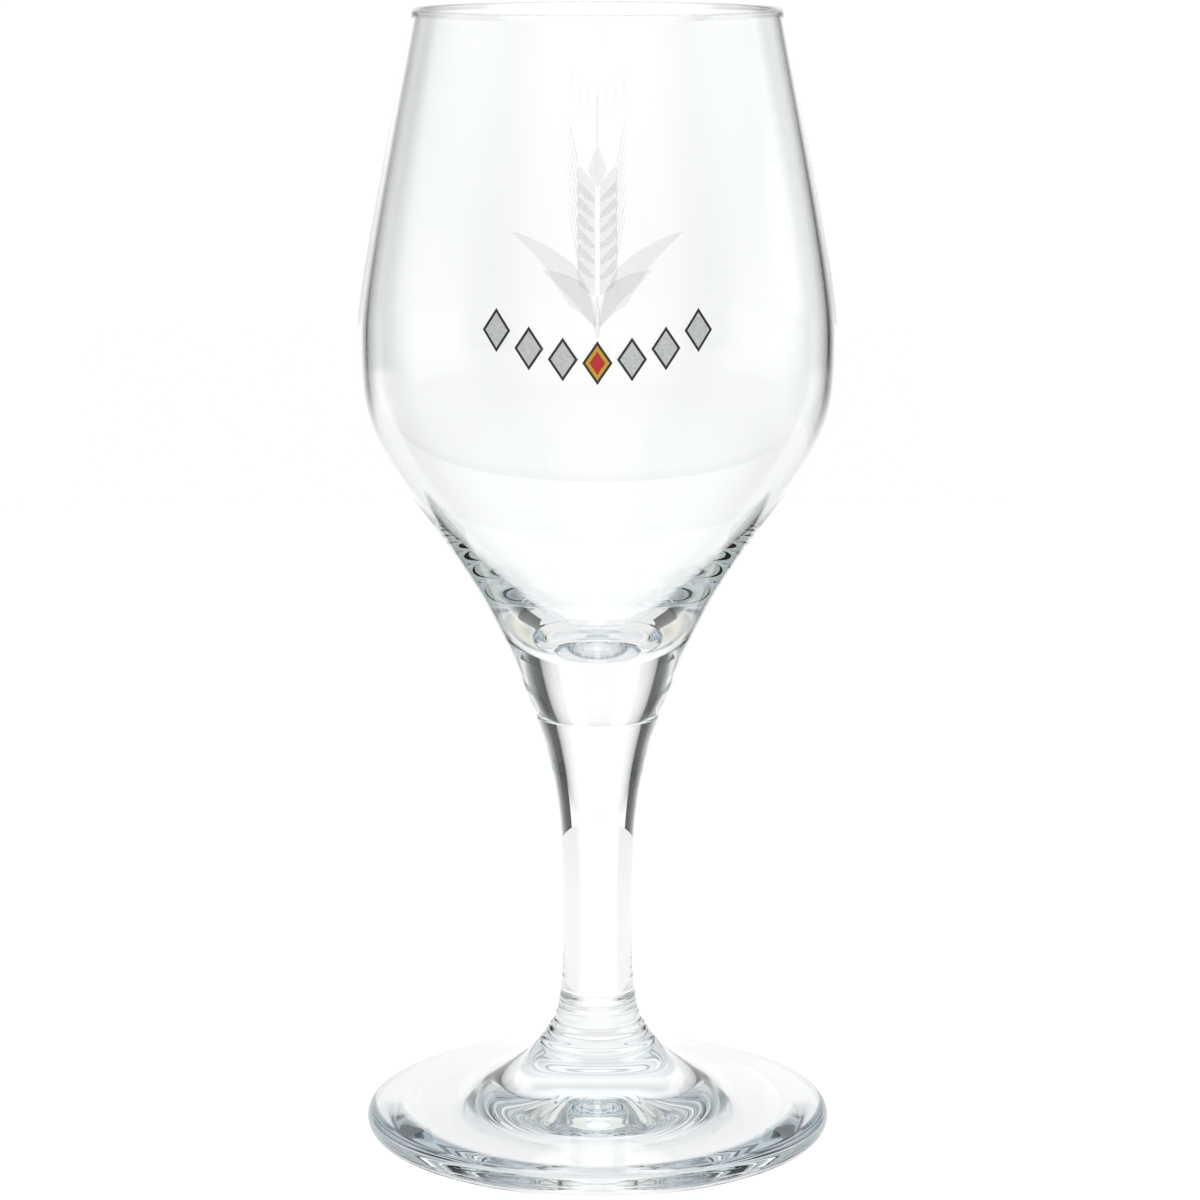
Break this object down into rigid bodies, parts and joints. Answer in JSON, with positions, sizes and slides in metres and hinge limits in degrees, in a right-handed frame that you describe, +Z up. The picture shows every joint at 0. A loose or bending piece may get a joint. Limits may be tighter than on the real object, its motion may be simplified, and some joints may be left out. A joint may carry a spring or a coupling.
{
  "type": "stemmed beer glass",
  "caption": "Clear stemmed tulip glass: thin-walled bowl narrowing to the rim, thick solid base, waisted stem and round disc foot with a ringed collar, for drinks that foam.",
  "frame": {"origin": "centre of the foot on the surface that the glass stands on", "axes": "+Z up along the axis of the glass, -Y towards the decorated front of the bowl, +X to the right of it"},
  "size_m": [0.0834, 0.0834, 0.2],
  "materials": {
    "clear_glass": "polished",
    "frost_enamel": "satin",
    "silver_enamel": "satin",
    "black_enamel": "gloss",
    "gold_enamel": "gloss",
    "red_enamel": "gloss"
  },
  "bodies": {
    "root": {"bowl": "clear_glass", "stem": "clear_glass", "foot": "clear_glass"}
  },
  "joints": []
}
